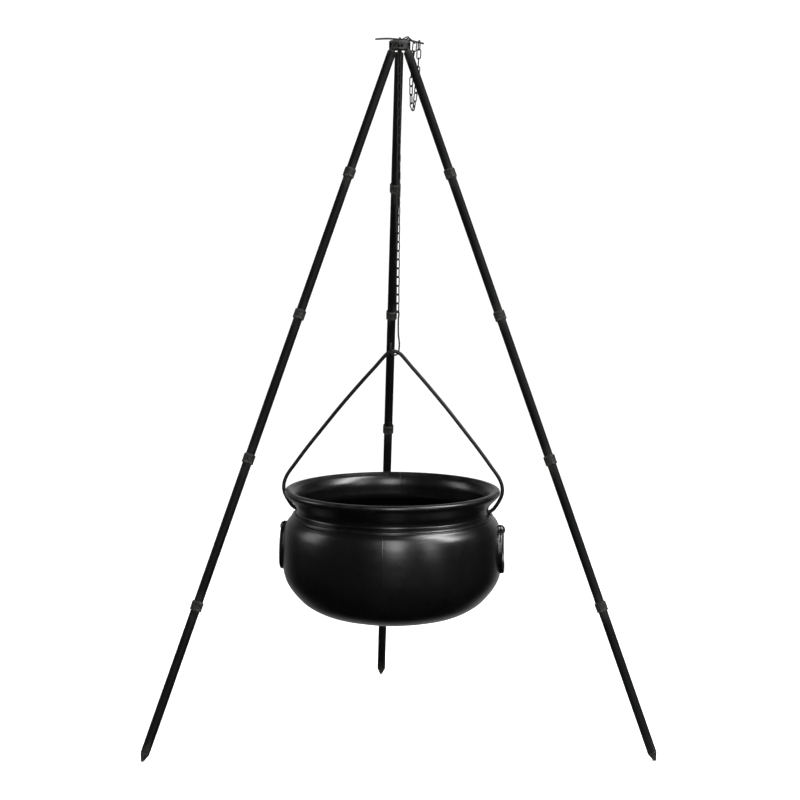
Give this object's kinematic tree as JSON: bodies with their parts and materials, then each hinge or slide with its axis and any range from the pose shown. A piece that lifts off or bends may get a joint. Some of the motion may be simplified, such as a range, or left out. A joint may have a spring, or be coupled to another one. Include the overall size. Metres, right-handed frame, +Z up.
{
  "type": "campfire cooking tripod",
  "caption": "Folding tripod of plug-in tube legs with a hub, chain and S-hook that hang a round-bellied black cauldron over a fire.",
  "frame": {"origin": "on the ground at the middle of the footprint box; the head and the chain stand 116.3 mm in front of it", "axes": "+Z up; the rear leg points to +Y and the open front faces -Y; +X to the right seen from the front"},
  "size_m": [0.8212, 0.7132, 1.1632],
  "materials": {
    "tube_black": "satin black paint on steel tube",
    "collar_black": "satin black, slightly lighter edges",
    "hub_black": "satin black paint",
    "fitting_steel": "blackened steel",
    "chain_black": "blackened steel wire",
    "pot_black": "satin to gloss moulded black",
    "bail_black": "satin black"
  },
  "bodies": {
    "head": {"head_hub": "hub_black", "hinge_pin_left": "fitting_steel", "hinge_pin_right": "fitting_steel", "hinge_pin_rear": "fitting_steel"},
    "hanger": {"cross_rod": "fitting_steel", "hanger_links": "chain_black"},
    "spare_chain_loop": {"spare_chain": "chain_black"},
    "chain_top_run": {"chain_upper": "chain_black"},
    "chain_bottom_run": {"chain_lower": "chain_black"},
    "hook": {"s_hook": "fitting_steel"},
    "bail": {"bail_handle": "bail_black"},
    "pot": {"cauldron": "pot_black"},
    "leg_left": {"leg_left_collar_1": "collar_black", "leg_left_collar_2": "collar_black", "leg_left_collar_3": "collar_black", "leg_left_collar_4": "collar_black", "leg_left_spike": "fitting_steel", "leg_left_top_lug": "fitting_steel", "leg_left_tube_1": "tube_black", "leg_left_tube_2": "tube_black", "leg_left_tube_3": "tube_black", "leg_left_tube_4": "tube_black", "leg_left_tube_5": "tube_black"},
    "leg_right": {"leg_right_collar_1": "collar_black", "leg_right_collar_2": "collar_black", "leg_right_collar_3": "collar_black", "leg_right_collar_4": "collar_black", "leg_right_spike": "fitting_steel", "leg_right_top_lug": "fitting_steel", "leg_right_tube_1": "tube_black", "leg_right_tube_2": "tube_black", "leg_right_tube_3": "tube_black", "leg_right_tube_4": "tube_black", "leg_right_tube_5": "tube_black"},
    "leg_rear": {"leg_rear_collar_1": "collar_black", "leg_rear_collar_2": "collar_black", "leg_rear_collar_3": "collar_black", "leg_rear_collar_4": "collar_black", "leg_rear_spike": "fitting_steel", "leg_rear_top_lug": "fitting_steel", "leg_rear_tube_1": "tube_black", "leg_rear_tube_2": "tube_black", "leg_rear_tube_3": "tube_black", "leg_rear_tube_4": "tube_black", "leg_rear_tube_5": "tube_black"}
  },
  "joints": [
    {"name": "fold_left_leg", "type": "hinge", "parent": "head", "child": "leg_left", "pos_m": [-0.00996, -0.12205, 1.1468], "axis": [0.5, -0.866, 0], "range_deg": [0, 19.1]},
    {"name": "fold_right_leg", "type": "hinge", "parent": "head", "child": "leg_right", "pos_m": [0.00996, -0.12205, 1.1468], "axis": [0.5, 0.866, 0], "range_deg": [0, 19.1]},
    {"name": "fold_rear_leg", "type": "hinge", "parent": "head", "child": "leg_rear", "pos_m": [-0.00014, -0.1048, 1.1468], "axis": [-0.9999, -0.0122, 0], "range_deg": [0, 19.1]},
    {"name": "hanger_lift", "type": "slide", "parent": "head", "child": "hanger", "axis": [0, 0, 1], "range_m": [0, 0.03]},
    {"name": "spare_chain_swing", "type": "hinge", "parent": "hanger", "child": "spare_chain_loop", "pos_m": [0.02544, -0.11786, 1.15394], "axis": [-0.3068, -0.9345, -0.1805], "range_deg": [-8, 8]},
    {"name": "chain_swing", "type": "hinge", "parent": "hanger", "child": "chain_top_run", "pos_m": [0, -0.1163, 1.10197], "axis": [-1, 0, 0], "range_deg": [-4, 4]},
    {"name": "chain_sway", "type": "hinge", "parent": "chain_top_run", "child": "chain_bottom_run", "pos_m": [0, -0.1163, 0.9113], "axis": [0, -1, 0], "range_deg": [-4, 4]},
    {"name": "hook_swing", "type": "hinge", "parent": "chain_bottom_run", "child": "hook", "pos_m": [0, -0.1163, 0.7061], "axis": [0, -1, 0], "range_deg": [-8, 8]},
    {"name": "pot_take_off", "type": "slide", "parent": "hook", "child": "bail", "axis": [0, -0.9872, -0.1597], "range_m": [0, 1.17]},
    {"name": "pot_tip", "type": "hinge", "parent": "bail", "child": "pot", "pos_m": [-0.0058, -0.1191, 0.3726], "axis": [0.9914, -0.1305, 0], "range_deg": [-22, 22]}
  ],
  "couplings": [
    {"joint": "fold_left_leg", "follows": "fold_rear_leg", "ratio": 1},
    {"joint": "fold_right_leg", "follows": "fold_rear_leg", "ratio": 1},
    {"joint": "pot_take_off", "follows": "fold_rear_leg", "m_per_rad": 3.4946}
  ]
}
